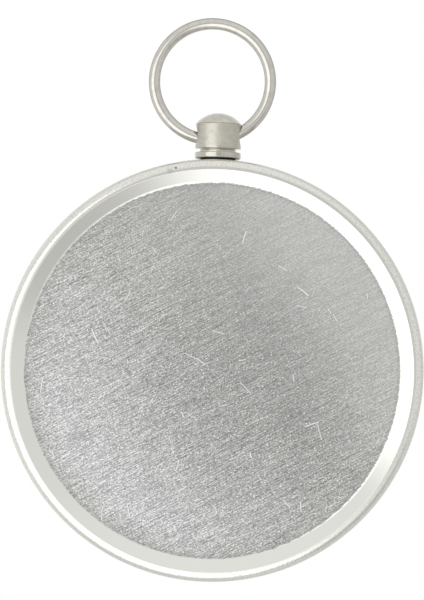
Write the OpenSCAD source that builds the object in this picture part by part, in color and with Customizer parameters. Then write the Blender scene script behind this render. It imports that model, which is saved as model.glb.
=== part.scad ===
// Geology compass in a pocket-watch case: magnetic needle, hanging dip pointer, glass and bow.
// Millimetres. z = 0 is the plane the back rim lies on, +Z runs up through the glass, +Y to the pendant.

/* [Case] */
// Outside diameter of the case
case_d = 50; // [45:0.5:60]
// Thickness of the drawn sheet
sheet_t = 1; // [0.8:0.05:1.2]
// Radius of the rounded outer corner of the rim
rim_round = 1.1; // [0.8:0.05:1.4]
// Width of the flat land that the rim lies on
rim_land = 0.18; // [0.14:0.02:0.5]
// Width of the sloped wall between the land and the flat back
rim_slope_w = 1.45; // [1:0.05:2]
// Depth of the flat back behind the land
back_depth = 0.8; // [0.5:0.05:1.2]

/* [Dial] */
// Thickness of the base plate
base_t = 1; // [0.8:0.1:1.5]
// Thickness of the dial plate
dial_t = 0.5; // [0.3:0.05:0.8]
// Radial width of the graduation ring
scale_w = 5.3; // [4.5:0.1:6]
// Bevel on the inner edge of the graduation ring
scale_bevel = 0.5; // [0.2:0.05:0.8]
// Width of the outer step of the graduation ring, under the bezel
scale_step_w = 1.3; // [1:0.1:1.6]
// Pitch radius of the dial screws
screw_pitch_r = 6; // [5:0.1:7.5]
// Number of dial screws
screw_count = 3; // [2:1:6]
// Head diameter of a dial screw
screw_head_d = 1.8; // [1.4:0.1:2.2]
// Head height of a dial screw
screw_head_h = 0.3; // [0.2:0.05:0.35]
// Shank diameter of a dial screw
screw_d = 1; // [0.8:0.1:1.2]
// Width of a dial screw's slot
screw_slot_w = 0.25; // [0.15:0.05:0.35]

/* [Pivot] */
// Diameter of the post's flange on the dial
post_flange_d = 5.2; // [4.8:0.1:6]
// Thickness of the post's flange
post_flange_t = 0.5; // [0.4:0.05:0.8]
// Diameter of the post's shank in the plates
post_shank_d = 2; // [1.6:0.1:2.4]
// Diameter of the journal that the dip pointer turns on
journal_d = 2.5; // [2.2:0.1:2.8]
// Diameter of the nozzle that grips the steel pin
nozzle_d = 1.7; // [1.5:0.1:2]
// Height of the nozzle above the collar
nozzle_h = 0.4; // [0.2:0.1:0.6]
// Diameter of the steel pin
pin_d = 0.9; // [0.7:0.05:1.1]
// Length of the pin's ground point
pin_point_l = 1.2; // [0.9:0.1:1.4]
// Depth of the pin in the post
pin_grip = 2; // [1.5:0.1:2.4]

/* [Needle] */
// Direction the needle rests in, counter-clockwise from the pendant
needle_heading = 28; // [0:1:359]
// Gap between the collar and the needle's hub
needle_gap = 1.1; // [0.9:0.05:1.6]
// Gap between the needle's point and the graduation ring
needle_clear = 0.4; // [0.3:0.05:0.8]
// Greatest width of the needle
needle_w = 5; // [4.6:0.1:6]
// Width of the needle's blunted points
needle_point_w = 0.3; // [0.2:0.05:0.5]
// Thickness of the needle
needle_t = 0.4; // [0.3:0.05:0.6]
// Diameter of the hub
hub_d = 3; // [2.8:0.1:3.4]
// Diameter of the hub's flange under the needle
hub_flange_d = 4.2; // [4:0.1:4.5]
// Thickness of the hub's flange
hub_flange_t = 0.25; // [0.2:0.05:0.4]
// Height of the hub
hub_h = 2.3; // [2.1:0.1:2.6]
// Thickness of the hub's closed top
hub_top_t = 0.4; // [0.3:0.05:0.5]
// Diameter of the jewel
jewel_d = 1.9; // [1.7:0.05:2]
// Height of the jewel
jewel_h = 0.9; // [0.8:0.05:1]
// Depth of the jewel's cup
cup_depth = 0.6; // [0.4:0.05:0.65]
// Mouth diameter of the jewel's cup
cup_d = 1.5; // [1.3:0.05:1.55]
// Gap between the point and the bottom of the cup
point_gap = 0.05; // [0.03:0.01:0.08]
// Distance of the balance rider from the needle's south point
rider_back = 8.2; // [4.2:0.1:10]
// Length of the balance rider along the needle
rider_l = 1.6; // [1.2:0.1:2.4]
// Wall thickness of the balance rider
rider_t = 0.3; // [0.2:0.05:0.4]

/* [Dip pointer] */
// Thickness of the washer under the bush
washer_t = 0.2; // [0.15:0.05:0.4]
// Diameter of the washer
washer_d = 4.8; // [4.4:0.1:5.2]
// Height of the bush
bush_h = 0.9; // [0.8:0.05:1.2]
// Diameter of the bush's lower flange
bush_flange_d = 4.6; // [4.4:0.1:5]
// Height of the bush's lower flange
bush_flange_h = 0.4; // [0.3:0.05:0.45]
// Diameter of the bush above its flange
bush_d = 3.6; // [3.4:0.05:3.8]
// Thickness of the pointer
arm_t = 0.4; // [0.3:0.05:0.45]
// Diameter of the pointer's eye
arm_eye_d = 5.2; // [4.8:0.1:5.6]
// Width of the pointer at its eye
arm_w = 2.6; // [2:0.1:3.4]
// Gap between the pointer's tip and the graduation ring
arm_clear = 3.6; // [2:0.1:5]
// Width of the pointer's blunted tip
arm_tip_w = 0.2; // [0.1:0.05:0.4]
// Distance of the weight from the pointer's tip
weight_back = 4.5; // [3.5:0.1:5.4]
// Diameter of the weight
weight_d = 4.4; // [3.6:0.1:5]
// Thickness of the weight
weight_t = 0.8; // [0.6:0.05:0.9]
// Shank diameter of the weight's rivet
rivet_d = 1; // [0.8:0.1:1.4]
// Head diameter of the weight's rivet
rivet_head_d = 1.8; // [1.6:0.1:2.2]
// Head height of the weight's rivet
rivet_head_h = 0.25; // [0.15:0.05:0.4]
// Height of the collar above the bush
collar_h = 0.5; // [0.4:0.05:0.8]
// Diameter of the collar
collar_d = 4.4; // [4.2:0.1:4.8]

/* [Glass and bezel] */
// Gap between the needle's hub and the glass
headroom = 0.5; // [0.4:0.05:1]
// Thickness of the glass
glass_t = 1.5; // [1.2:0.1:2]
// Ease on the edges of the glass
glass_edge = 0.2; // [0.1:0.05:0.3]
// Thickness of the gasket on the glass
gasket_t = 0.3; // [0.2:0.05:0.5]
// Distance of the gasket's inner edge behind the window's edge
gasket_back = 0.2; // [0.1:0.05:0.4]
// Thickness of the bezel's lip over the gasket
lip_t = 1.2; // [1:0.05:1.5]
// Width of glass covered by the lip
lip_cover = 1; // [0.8:0.05:1.3]
// Height of the bevel around the window
window_bevel_h = 0.8; // [0.4:0.05:0.9]
// Width of the bevel around the window
window_bevel_w = 1; // [0.5:0.05:1.5]
// Height of the bezel seen above the seam
bezel_h = 2.3; // [2:0.1:2.6]
// Radius of the bezel's front outer edge
bezel_round = 1.2; // [0.8:0.05:1.4]
// Radial width of the bezel's spigot with the glass seat
spigot_w = 1.75; // [1.6:0.05:2]
// Length of spigot below the snap ring
spigot_tail = 0.5; // [0.4:0.05:0.8]
// Wire diameter of the snap ring
snap_d = 0.8; // [0.6:0.05:0.9]
// Opening of the snap ring in degrees
snap_gap = 14; // [8:1:24]
// Chamfer on both sides of the seam
seam_v = 0.15; // [0.1:0.05:0.25]

/* [Pendant] */
// Gap between the case and the pendant's flange
flange_gap = 0.3; // [0.15:0.05:0.4]
// Diameter of the shoulder that stands on the case
shoulder_d = 4.2; // [3.6:0.1:4.8]
// Diameter of the flange
flange_d = 5.55; // [5.3:0.05:5.8]
// Thickness of the flange
flange_t = 0.75; // [0.6:0.05:1]
// Diameter of the groove between flange and head
neck_d = 4.16; // [3.6:0.05:4.5]
// Width of the groove
neck_l = 0.35; // [0.25:0.05:0.6]
// Diameter of the head
head_d = 5.55; // [5.4:0.05:5.7]
// Straight height of the head
head_l = 2.95; // [2.8:0.05:3.2]
// Height of the dome on the head
dome_h = 1.4; // [1.1:0.05:1.8]
// Edge break on head and flange
head_break = 0.15; // [0.05:0.05:0.25]
// Thread diameter of the stem in the wall
stem_d = 1.6; // [1.4:0.1:1.8]
// Length of stem beyond the nut
stem_tail = 0.25; // [0.1:0.05:0.4]
// Thickness of the saddle washer at its middle
saddle_t = 0.6; // [0.4:0.05:0.8]
// Diameter of the saddle washer
saddle_d = 3.2; // [2.8:0.1:3.3]
// Width across the flats of the nut
nut_af = 3.2; // [2.8:0.1:3.3]
// Height of the nut
nut_h = 1.3; // [1:0.1:1.4]
// Gap behind the stem's end in the graduation ring's pocket
pocket_gap = 0.3; // [0.2:0.05:0.4]

/* [Bow] */
// Mean diameter of the ring
bow_d = 13.92; // [13:0.02:15]
// Diameter of the wire
wire_d = 1.35; // [1.2:0.05:1.4]
// Lean of the ring at rest, towards +X, in degrees
bow_lean = 7.8; // [0:0.1:8]
// Opening of the ring inside the head, in degrees
bow_gap = 4; // [2:1:8]
// Height of the cross hole above the middle of the head's straight side
cross_rise = 0.195; // [0.05:0.005:0.25]
// Chamfer on the mouths of the cross hole
mouth = 0.25; // [0.15:0.05:0.3]
// Gap between the wire and the cross hole
bow_clear = 0.04; // [0.03:0.01:0.08]

/* [Fits] */
// Radial gap of a piece pressed or glued in place
press_gap = 0.01; // [0:0.005:0.02]
// Radial gap of a running bearing
run_gap = 0.04; // [0.02:0.01:0.08]
// End play of the dip pointer on each side
end_play = 0.05; // [0.03:0.01:0.1]
// Radial gap between the works and the case
works_gap = 0.1; // [0.05:0.01:0.2]
// Radial gap between the bezel's spigot and the case
bezel_gap = 0.03; // [0.02:0.01:0.06]
// Radial gap between the glass and its seat
glass_gap = 0.05; // [0.02:0.01:0.1]
// Gap around a screw, stem or nut
bolt_gap = 0.05; // [0.03:0.01:0.1]
// Gap under the ends of the screws and the post
shank_gap = 0.1; // [0.05:0.05:0.2]

/* [Hidden] */
$fn = 96;
fine_fn = 360;
cut = 0.5;
lap = 0.1;
heel_share = 0.8;
seat_steps = 8;
case_r = case_d / 2;
bore_r = case_r - sheet_t;
works_r = bore_r - works_gap;
land_out_r = case_r - rim_round;
land_in_r = land_out_r - rim_land;
back_r = land_in_r - rim_slope_w;
slope = atan(back_depth / rim_slope_w);
floor_z = back_depth + sheet_t;
floor_r = back_r + sheet_t * tan(slope / 2);
heel_z = max(floor_z - (bore_r - floor_r) * tan(slope), heel_share * sheet_t);

base_top = floor_z + base_t;
dial_top = base_top + dial_t;
flange_top = dial_top + post_flange_t;
bush_z = flange_top + washer_t + end_play;
arm_z = bush_z + bush_flange_h;
collar_z = bush_z + bush_h + end_play;
collar_top = collar_z + collar_h;
nozzle_top = collar_top + nozzle_h;
hub_z = collar_top + needle_gap;
blade_z = hub_z + hub_flange_t;
hub_top = hub_z + hub_h;
jewel_top = hub_top - hub_top_t;
jewel_z = jewel_top - jewel_h;
point_z = jewel_z + cup_depth - point_gap;
scale_z = blade_z + needle_t / 2;

glass_z = hub_top + headroom;
glass_top = glass_z + glass_t;
lip_z = glass_top + gasket_t;
top_z = lip_z + lip_t;
seam_z = top_z - bezel_h;
spigot_z = glass_z - snap_d - spigot_tail;
spigot_r = bore_r - bezel_gap;
seat_r = bore_r - spigot_w;
glass_r = seat_r - glass_gap;
window_r = glass_r - lip_cover;
scale_in_r = works_r - scale_w;
step_in_r = works_r - scale_step_w;
tip_r = scale_in_r - needle_clear;
rider_y = tip_r - rider_back;
arm_tip_r = scale_in_r - arm_clear;
weight_y = arm_tip_r - weight_back;

pend_z = dial_top + nut_af / 2 + 3 * bolt_gap;
flange_y = case_r + flange_gap;
neck_y = flange_y + flange_t;
head_y = neck_y + neck_l;
dome_y = head_y + head_l;
dome_r = (head_d * head_d / 4 + dome_h * dome_h) / (2 * dome_h);
saddle_y = bore_r - saddle_t;
nut_y = saddle_y - press_gap - nut_h;
stem_end_y = nut_y - stem_tail;
pocket_y = stem_end_y - pocket_gap;
pocket_w = nut_af / cos(30) + 6 * bolt_gap;
pocket_top = pend_z + nut_af / 2 + 2 * bolt_gap;

// The ring's centre stands where the strand clears the cross hole equally above and below.
bow_r = bow_d / 2;
wire_r = wire_d / 2;
mouth_x = head_d / 2 - mouth;
function strand_above(d) = d * cos(bow_lean)
    - sqrt(pow(bow_r - wire_r, 2) - pow(mouth_x + d * sin(bow_lean), 2));
function strand_below(d) = bow_r + wire_r - d * cos(bow_lean);
function seat(d, n) = n == 0 ? d
    : seat(d + (strand_below(d) - strand_above(d)) / (2 * cos(bow_lean)), n - 1);
bow_y = seat(bow_r, seat_steps);
cross_r = max(strand_above(bow_y), strand_below(bow_y)) + bow_clear;
cross_y = head_y + head_l / 2 + cross_rise;

aluminium = [0.75, 0.75, 0.74];
nickel = [0.76, 0.74, 0.69];
brass = [0.78, 0.62, 0.32];
steel = [0.55, 0.56, 0.58];
white = [0.92, 0.91, 0.87];
blue = [0.16, 0.2, 0.32];
ruby = [0.6, 0.1, 0.15];
rubber = [0.08, 0.08, 0.08];
clear = [0.85, 0.9, 0.9, 0.35];

// A flat ring or washer between two heights.
module annulus(outer, inner, z0, z1)
    difference() {
        translate([0, 0, z0]) cylinder(r = outer, h = z1 - z0);
        translate([0, 0, z0 - cut]) cylinder(r = inner, h = z1 - z0 + 2 * cut);
    }

// Stands a turned piece on the pendant's axis, so that its height runs along +Y.
module on_pendant()
    translate([0, 0, pend_z])
        rotate([-90, 0, 0])
            children();

// Drawn shell: recessed flat back, sloped wall, rounded rim and straight side with the stem's hole.
module case_shell()
    color(aluminium)
        difference() {
            rotate_extrude()
                difference() {
                    union() {
                        polygon([[0, back_depth], [back_r, back_depth], [land_in_r, 0], [land_out_r, 0],
                            [land_out_r, rim_round], [case_r, rim_round], [case_r, seam_z - seam_v],
                            [case_r - seam_v, seam_z], [0, seam_z]]);
                        intersection() {
                            translate([land_out_r, rim_round]) circle(r = rim_round);
                            translate([land_out_r, 0]) square([rim_round, rim_round]);
                        }
                    }
                    polygon([[0, floor_z], [floor_r, floor_z], [bore_r, heel_z], [bore_r, seam_z + cut],
                        [0, seam_z + cut]]);
                }
            on_pendant()
                translate([0, 0, bore_r - cut]) cylinder(d = stem_d + 2 * bolt_gap, h = sheet_t + 2 * cut);
        }

// Front ring with a rounded outer edge, a bevelled window, a glass seat and a spigot for the case.
module bezel_ring()
    color(aluminium)
        rotate_extrude()
            difference() {
                union() {
                    polygon([[seat_r, spigot_z], [spigot_r, spigot_z], [spigot_r, seam_z],
                        [case_r - seam_v, seam_z], [case_r, seam_z + seam_v], [case_r, top_z - bezel_round],
                        [case_r - bezel_round, top_z - bezel_round], [case_r - bezel_round, top_z],
                        [window_r + window_bevel_w, top_z], [window_r, top_z - window_bevel_h],
                        [window_r, lip_z], [seat_r, lip_z]]);
                    intersection() {
                        translate([case_r - bezel_round, top_z - bezel_round]) circle(r = bezel_round);
                        translate([case_r - bezel_round, top_z - bezel_round])
                            square([bezel_round, bezel_round]);
                    }
                }
                translate([seat_r, glass_z - snap_d / 2]) circle(d = snap_d + 2 * press_gap);
            }

// Flat window glass with its edges eased.
module glass()
    color(clear)
        rotate_extrude()
            polygon([[0, glass_z], [glass_r - glass_edge, glass_z], [glass_r, glass_z + glass_edge],
                [glass_r, glass_top - glass_edge], [glass_r - glass_edge, glass_top], [0, glass_top]]);

// Soft ring between the glass and the bezel's lip.
module glass_gasket()
    color(rubber)
        annulus(glass_r, window_r + gasket_back, glass_top, lip_z);

// Open wire ring that springs into the groove under the glass.
module glass_snap_ring()
    color(steel)
        translate([0, 0, glass_z - snap_d / 2])
            rotate([0, 0, snap_gap / 2 - 90])
                rotate_extrude(angle = 360 - snap_gap)
                    translate([seat_r, 0]) circle(d = snap_d);

// Plate on the shell's floor that carries the post and the screws.
module base_plate()
    color(aluminium)
        difference() {
            translate([0, 0, floor_z]) cylinder(r = works_r, h = base_t);
            translate([0, 0, floor_z - cut])
                cylinder(d = post_shank_d + 2 * press_gap, h = base_t + 2 * cut);
            screw_places()
                translate([0, 0, floor_z - cut])
                    cylinder(d = screw_d + 2 * press_gap, h = base_t + 2 * cut);
        }

// Places of the dial screws around the post.
module screw_places()
    for (i = [0 : screw_count - 1])
        rotate([0, 0, 90 + i * 360 / screw_count])
            translate([screw_pitch_r, 0, 0])
                children();

// Enamelled dial on the base plate.
module dial_plate()
    color(white)
        difference() {
            translate([0, 0, base_top]) cylinder(r = works_r, h = dial_t);
            translate([0, 0, base_top - cut])
                cylinder(d = post_shank_d + 2 * press_gap, h = dial_t + 2 * cut);
            screw_places()
                translate([0, 0, base_top - cut])
                    cylinder(d = screw_d + 2 * bolt_gap, h = dial_t + 2 * cut);
        }

// Slotted screws that hold the dial on the base plate.
module dial_screws()
    color(brass)
        screw_places()
            difference() {
                union() {
                    translate([0, 0, floor_z + shank_gap]) cylinder(d = screw_d, h = dial_top - floor_z);
                    translate([0, 0, dial_top]) cylinder(d = screw_head_d, h = screw_head_h);
                }
                translate([-screw_head_d, -screw_slot_w / 2, dial_top + screw_head_h / 2])
                    cube([2 * screw_head_d, screw_slot_w, screw_head_h]);
            }

// Degree ring around the dial, level with the needle and pocketed for the pendant's nut.
module graduation_ring()
    color(aluminium)
        difference() {
            rotate_extrude()
                polygon([[scale_in_r, dial_top], [works_r, dial_top], [works_r, spigot_z - end_play],
                    [step_in_r, spigot_z - end_play], [step_in_r, scale_z],
                    [scale_in_r + scale_bevel, scale_z], [scale_in_r, scale_z - scale_bevel]]);
            translate([-pocket_w / 2, pocket_y, dial_top - cut])
                cube([pocket_w, bore_r - pocket_y, pocket_top - dial_top + cut]);
        }

// Post through the dial: shank, flange, journal for the dip pointer and nozzle for the pin.
module pivot_post()
    color(brass)
        difference() {
            union() {
                translate([0, 0, floor_z + shank_gap]) cylinder(d = post_shank_d, h = dial_top - floor_z);
                translate([0, 0, dial_top]) cylinder(d = post_flange_d, h = post_flange_t);
                translate([0, 0, dial_top]) cylinder(d = journal_d, h = collar_top - dial_top);
                translate([0, 0, dial_top]) cylinder(d = nozzle_d, h = nozzle_top - dial_top);
            }
            translate([0, 0, nozzle_top - pin_grip])
                cylinder(d = pin_d + 2 * press_gap, h = pin_grip + cut);
        }

// Hardened pin with a ground point.
module pivot_pin()
    color(steel)
        rotate_extrude()
            polygon([[0, nozzle_top - pin_grip], [pin_d / 2, nozzle_top - pin_grip],
                [pin_d / 2, point_z - pin_point_l], [0, point_z]]);

// Washer that the dip pointer's bush runs on.
module clinometer_washer()
    color(steel)
        annulus(washer_d / 2, journal_d / 2 + press_gap, flange_top, flange_top + washer_t);

// Flanged bush that turns on the journal.
module clinometer_bush()
    color(brass)
        difference() {
            union() {
                translate([0, 0, bush_z]) cylinder(d = bush_flange_d, h = bush_flange_h);
                translate([0, 0, bush_z]) cylinder(d = bush_d, h = bush_h);
            }
            translate([0, 0, bush_z - cut]) cylinder(d = journal_d + 2 * run_gap, h = bush_h + 2 * cut);
        }

// Flat pointer that hangs towards -Y and reads the dip scale.
module clinometer_arm()
    color(brass)
        translate([0, 0, arm_z])
            linear_extrude(height = arm_t)
                difference() {
                    union() {
                        circle(d = arm_eye_d);
                        translate([0, -weight_y]) circle(d = arm_w);
                        polygon([[-arm_w / 2, 0], [-arm_w / 2, -weight_y], [-arm_tip_w / 2, -arm_tip_r],
                            [arm_tip_w / 2, -arm_tip_r], [arm_w / 2, -weight_y], [arm_w / 2, 0]]);
                    }
                    circle(d = bush_d + 2 * press_gap);
                    translate([0, -weight_y]) circle(d = rivet_d + 2 * press_gap);
                }

// Round weight under the pointer.
module clinometer_weight()
    color(brass)
        translate([0, -weight_y, arm_z - weight_t])
            difference() {
                cylinder(d = weight_d, h = weight_t);
                translate([0, 0, -cut]) cylinder(d = rivet_d + 2 * press_gap, h = weight_t + 2 * cut);
            }

// Rivet through the pointer and its weight.
module weight_rivet()
    color(brass)
        translate([0, -weight_y, arm_z - weight_t]) {
            cylinder(d = rivet_d, h = weight_t + arm_t);
            translate([0, 0, weight_t + arm_t]) cylinder(d = rivet_head_d, h = rivet_head_h);
        }

// Collar pressed on the journal above the bush.
module clinometer_collar()
    color(brass)
        annulus(collar_d / 2, journal_d / 2 + press_gap, collar_z, collar_top);

// Outline of the lozenge needle, grown evenly for the rider's slot.
module needle_outline(grow)
    polygon([[-needle_point_w / 2 - grow, tip_r], [-needle_w / 2 - grow, 0],
        [-needle_point_w / 2 - grow, -tip_r], [needle_point_w / 2 + grow, -tip_r],
        [needle_w / 2 + grow, 0], [needle_point_w / 2 + grow, tip_r]]);

// Magnetised lozenge needle.
module needle_blade()
    color(blue)
        rotate([0, 0, needle_heading])
            translate([0, 0, blade_z])
                linear_extrude(height = needle_t)
                    difference() {
                        needle_outline(0);
                        circle(d = hub_d + 2 * press_gap);
                    }

// Hub with a flange under the needle and a closed top over the jewel.
module needle_hub()
    color(brass)
        difference() {
            union() {
                translate([0, 0, hub_z]) cylinder(d = hub_flange_d, h = hub_flange_t);
                translate([0, 0, hub_z]) cylinder(d = hub_d, h = hub_h);
            }
            translate([0, 0, hub_z - cut])
                cylinder(d = jewel_d + 2 * press_gap, h = jewel_top - hub_z + cut);
        }

// Cupped jewel that rides on the pin.
module needle_jewel()
    color(ruby)
        difference() {
            translate([0, 0, jewel_z]) cylinder(d = jewel_d, h = jewel_h);
            rotate_extrude()
                polygon([[0, jewel_z - cut], [cup_d / 2, jewel_z - cut], [cup_d / 2, jewel_z],
                    [0, jewel_z + cup_depth]]);
        }

// Sliding band on the south arm that balances the needle's dip.
module needle_rider()
    color(brass)
        rotate([0, 0, needle_heading])
            difference() {
                rider_w = needle_w * (1 - (rider_y - rider_l / 2) / tip_r) + needle_point_w + 2 * rider_t;
                translate([-rider_w / 2, -rider_y - rider_l / 2, blade_z - rider_t])
                    cube([rider_w, rider_l, needle_t + 2 * rider_t]);
                translate([0, 0, blade_z - press_gap])
                    linear_extrude(height = needle_t + 2 * press_gap) needle_outline(press_gap);
            }

// Turned pendant: stem through the wall, saddle shoulder, flange, groove and domed head with a cross hole.
module pendant()
    color(nickel)
        difference() {
            union() {
                on_pendant()
                    rotate_extrude()
                        union() {
                            translate([0, stem_end_y]) square([stem_d / 2, flange_y - stem_end_y + lap]);
                            polygon([[0, flange_y], [flange_d / 2 - head_break, flange_y],
                                [flange_d / 2, flange_y + head_break], [flange_d / 2, neck_y - head_break],
                                [flange_d / 2 - head_break, neck_y], [neck_d / 2, neck_y],
                                [neck_d / 2, head_y], [head_d / 2 - head_break, head_y],
                                [head_d / 2, head_y + head_break], [head_d / 2, dome_y], [0, dome_y]]);
                            intersection() {
                                translate([0, dome_y + dome_h - dome_r]) circle(r = dome_r);
                                translate([0, dome_y - lap]) square([head_d / 2, dome_h + 2 * lap]);
                            }
                        }
                difference() {
                    on_pendant()
                        translate([0, 0, bore_r]) cylinder(d = shoulder_d, h = flange_y - bore_r + lap);
                    translate([0, 0, -cut]) cylinder(r = case_r + press_gap, h = top_z + 2 * cut);
                }
            }
            translate([0, cross_y, pend_z])
                rotate([0, 90, 0]) {
                    translate([0, 0, -head_d]) cylinder(r = cross_r, h = 2 * head_d);
                    for (side = [0, 1])
                        mirror([0, 0, side])
                            translate([0, 0, mouth_x])
                                cylinder(r1 = cross_r, r2 = cross_r + 2 * mouth, h = 2 * mouth);
                }
        }

// Washer with one side turned to the wall's curve and one side flat for the nut.
module pendant_washer()
    color(brass)
        difference() {
            intersection() {
                on_pendant()
                    translate([0, 0, saddle_y]) cylinder(d = saddle_d, h = saddle_t + cut);
                cylinder(r = bore_r - press_gap, h = top_z, $fn = fine_fn);
            }
            on_pendant()
                translate([0, 0, saddle_y - cut])
                    cylinder(d = stem_d + 2 * bolt_gap, h = saddle_t + 2 * cut);
        }

// Hexagon nut on the stem.
module pendant_nut()
    color(brass)
        on_pendant()
            translate([0, 0, nut_y])
                difference() {
                    cylinder(d = nut_af / cos(30), h = nut_h, $fn = 6);
                    translate([0, 0, -cut]) cylinder(d = stem_d + 2 * press_gap, h = nut_h + 2 * cut);
                }

// Round wire ring through the head, its ends meeting inside the cross hole.
module bow_ring()
    color(nickel)
        translate([0, cross_y, pend_z])
            rotate([0, 0, -bow_lean])
                translate([0, bow_y, 0])
                    rotate([0, 0, bow_gap / 2 - 90])
                        rotate_extrude(angle = 360 - bow_gap)
                            translate([bow_r, 0]) circle(d = wire_d);

case_shell();
bezel_ring();
glass();
glass_gasket();
glass_snap_ring();
base_plate();
dial_plate();
dial_screws();
graduation_ring();
pivot_post();
pivot_pin();
clinometer_washer();
clinometer_bush();
clinometer_arm();
clinometer_weight();
weight_rivet();
clinometer_collar();
needle_blade();
needle_hub();
needle_jewel();
needle_rider();
pendant();
pendant_washer();
pendant_nut();
bow_ring();
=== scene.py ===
import math

import bmesh
import bpy
from mathutils import Matrix, Vector


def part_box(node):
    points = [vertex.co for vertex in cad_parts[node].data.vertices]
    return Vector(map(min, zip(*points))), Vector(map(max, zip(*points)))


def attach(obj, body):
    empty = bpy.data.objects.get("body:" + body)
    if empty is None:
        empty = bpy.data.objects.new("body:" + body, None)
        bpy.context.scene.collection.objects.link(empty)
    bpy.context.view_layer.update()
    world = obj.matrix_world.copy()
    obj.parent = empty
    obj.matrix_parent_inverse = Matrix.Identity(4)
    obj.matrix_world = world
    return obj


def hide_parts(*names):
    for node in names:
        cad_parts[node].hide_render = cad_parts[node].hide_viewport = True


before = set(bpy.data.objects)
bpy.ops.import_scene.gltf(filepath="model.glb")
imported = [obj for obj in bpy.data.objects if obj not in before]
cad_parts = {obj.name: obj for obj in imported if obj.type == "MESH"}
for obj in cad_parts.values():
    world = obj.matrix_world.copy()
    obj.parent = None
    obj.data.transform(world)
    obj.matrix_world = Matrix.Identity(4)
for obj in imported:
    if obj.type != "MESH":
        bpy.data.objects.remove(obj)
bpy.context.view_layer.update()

MM = 0.001
UP = (0.0, 0.0, 1.0)
DOWN = (0.0, 0.0, -1.0)
BLACK = (0.0, 0.0, 0.0)
WHITE = (1.0, 1.0, 1.0)

# Case and bezel, in millimetres; overall sizes come from the frame.
RIM_ROUND = 1.1
RIM_LAND = 0.18
RIM_SLOPE_W = 1.45
BACK_DEPTH = 0.8
SHEET_T = 1.0
BACK_FILLET = 0.8
LAND_FILLET = 0.1
INNER_FILLET = 0.3
SEAM_CHAMFER = 0.15
EDGE_BREAK = 0.05
BEZEL_ROUND = 1.2
BEZEL_LIP_T = 1.2
WINDOW_R = 21.2
WINDOW_BEVEL_W = 1.0
WINDOW_BEVEL_H = 0.8
BEVEL_TOP_ROUND = 0.12
BEVEL_FOOT_ROUND = 0.08
SPIGOT_R = 23.97
SEAT_R = 22.25

# Looks of the case: the brushing's turn in degrees, the back's darkest tone, and two nicks in millimetres.
GRAIN_TURN = 28.0
BACK_TONE = 0.403
DEEP_NICK = (4.92, 23.78, 0.07)
FAINT_NICK = (5.6, 23.4, 0.02)

# Scratches on the back, in millimetres; the half arc is in radians, and least and most scale a scratch.
SCRATCH_COUNT = 44
SCRATCH_SEED = 7
SCRATCH_TURN_SEED = 3
SCRATCH_SIZE_SEED = 5
SCRATCH_MARGIN = 0.8
SCRATCH_BEND_R = 6.0
SCRATCH_HALF_ARC = 0.18
SCRATCH_WIDTH = 0.19
SCRATCH_SINK = 0.0015
SCRATCH_LEAST = (0.3, 0.3, 0.12)
SCRATCH_MOST = (0.7, 0.95, 0.2)

# Pendant and bow, in millimetres; the bow's lean and gap are in degrees.
STEM_R = 0.8
SHOULDER_R = 2.1
SHOULDER_SINK = 0.3
FLANGE_R = 2.775
FLANGE_GAP = 0.3
FLANGE_T = 0.75
FLANGE_ROUND = 0.15
NECK_R = 2.12
NECK_L = 0.35
GROOVE_EASE = 0.03
GROOVE_FILLET = 0.04
LIP_ROUND = 0.1
HEAD_R = 2.775
HEAD_L = 2.95
DOME_H = 1.4
CROSS_UP = 1.67
CROSS_R = 1.218
DRILL_REACH = 4.0
MOUTH_DEEP = 0.25
MOUTH_EASE = 0.22
MOUTH_ROUND = 0.03
BOW_R = 6.96
WIRE_R = 0.675
BOW_LEAN = 7.8
BOW_GAP = 4.0
BOW_SEAT = 6.518

# Dial print, in millimetres.
SCALE_TICK_IN = 19.2
SCALE_FIGURE_R = 20.62
SCALE_FIGURE_H = 0.8
INNER_TICK_IN = 17.5
DIP_TICK_IN = 15.2
DIP_ARC_GAP = 0.1
DIP_FIGURE_R = 13.6
DIP_FIGURE_H = 1.1
NORTH_R = 12.4
NORTH_H = 2.8
SIDE_WIND_R = 9.6
SOUTH_R = 7.0
WIND_H = 2.4
INK_T = 0.02
TYPE_PER_HEIGHT = 1.38

# Fineness of the meshes: steps around an axis, along a curve or at a rounded corner, and sides.
CASE_STEPS = 320
CASE_CORNER_STEPS = 14
PENDANT_STEPS = 160
PENDANT_CORNER_STEPS = 8
DOME_STEPS = 24
DRILL_STEPS = 96
BOW_STEPS = 240
WIRE_STEPS = 40
SCRATCH_STEPS = 9
SCRATCH_SIDES = 4
FIELD_SIDES = 48
LETTER_STEPS = 4

# Edges that bend less than these angles, in degrees, are shaded smooth.
TURNED_SMOOTH = 28.0
PENDANT_SMOOTH = 32.0
WIRE_SMOOTH = 50.0

# In millimetres: a point this close to the axis lies on it, and edges shorter than the other are dissolved.
ON_AXIS = 1e-6
SHORTEST_EDGE = 0.0003

# The photograph: its size in pixels, the case's centre and scale at the rim; the camera is in millimetres.
IMAGE_W = 424
IMAGE_H = 600
CASE_PX = (212.3, 370.5)
PX_PER_MM = 8.46
CAMERA_DISTANCE = 250.0
CAMERA_ROLL = math.radians(1.5)
SENSOR = 36.0

# Light around, below and above the case and on the screens: levels, full and outer half-widths in degrees.
AROUND_LEVEL = 0.68
BELOW_LEVEL = 0.77
BELOW_SPREAD = (60.0, 95.0)
ABOVE_LEVEL = 1.0
ABOVE_SPREAD = (16.0, 50.0)
SCREEN_LEVEL = 1.45
SCREEN_SPREAD = (57.0, 69.0)

# Soft patches around the camera: bearing, tilt off its axis, full and outer half-width in degrees, level.
PATCHES = [(95.0, 60.0, 15.0, 55.0, 0.86), (318.0, 60.0, 5.0, 32.0, 0.55),
           (180.0, 112.0, 25.0, 65.0, 0.84), (50.0, 6.0, 3.0, 17.0, 0.63)]

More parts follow.
